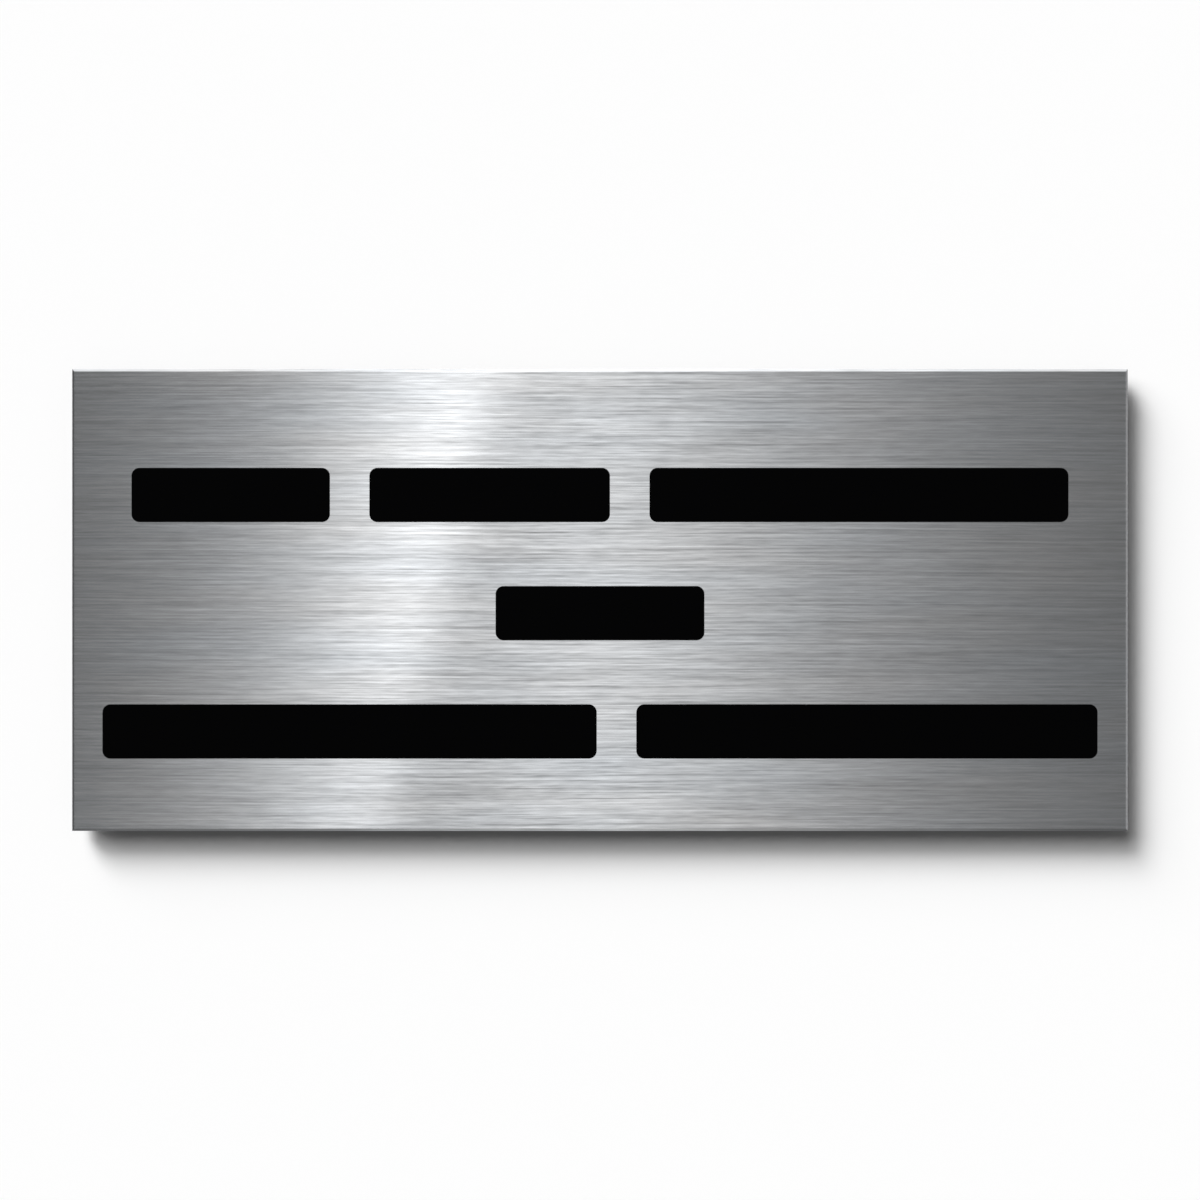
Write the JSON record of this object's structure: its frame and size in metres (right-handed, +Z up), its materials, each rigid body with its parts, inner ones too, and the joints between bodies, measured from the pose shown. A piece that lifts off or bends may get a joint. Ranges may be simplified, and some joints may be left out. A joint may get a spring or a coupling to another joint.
{
  "type": "no advertising sign",
  "caption": "Flat rectangular brushed steel sign for a letterbox or door, with a bevelled front edge, rows of plain black printed bars and foam tape on its back.",
  "frame": {"origin": "middle of the foam tape's outer face, which meets the letterbox, door or wall", "axes": "+Z up, +Y into the surface that the sign is stuck to, so the printed face looks along -Y, and +X to the reader's right"},
  "size_m": [0.08, 0.0026, 0.035],
  "materials": {
    "brushed_plate": "brushed along the plate's length",
    "foam": "matt white closed-cell foam",
    "black_ink": "satin black print"
  },
  "bodies": {
    "root": {"plate": "brushed_plate", "foam_tape": "foam", "upper_print": "black_ink", "middle_print": "black_ink", "lower_print": "black_ink"}
  },
  "joints": []
}
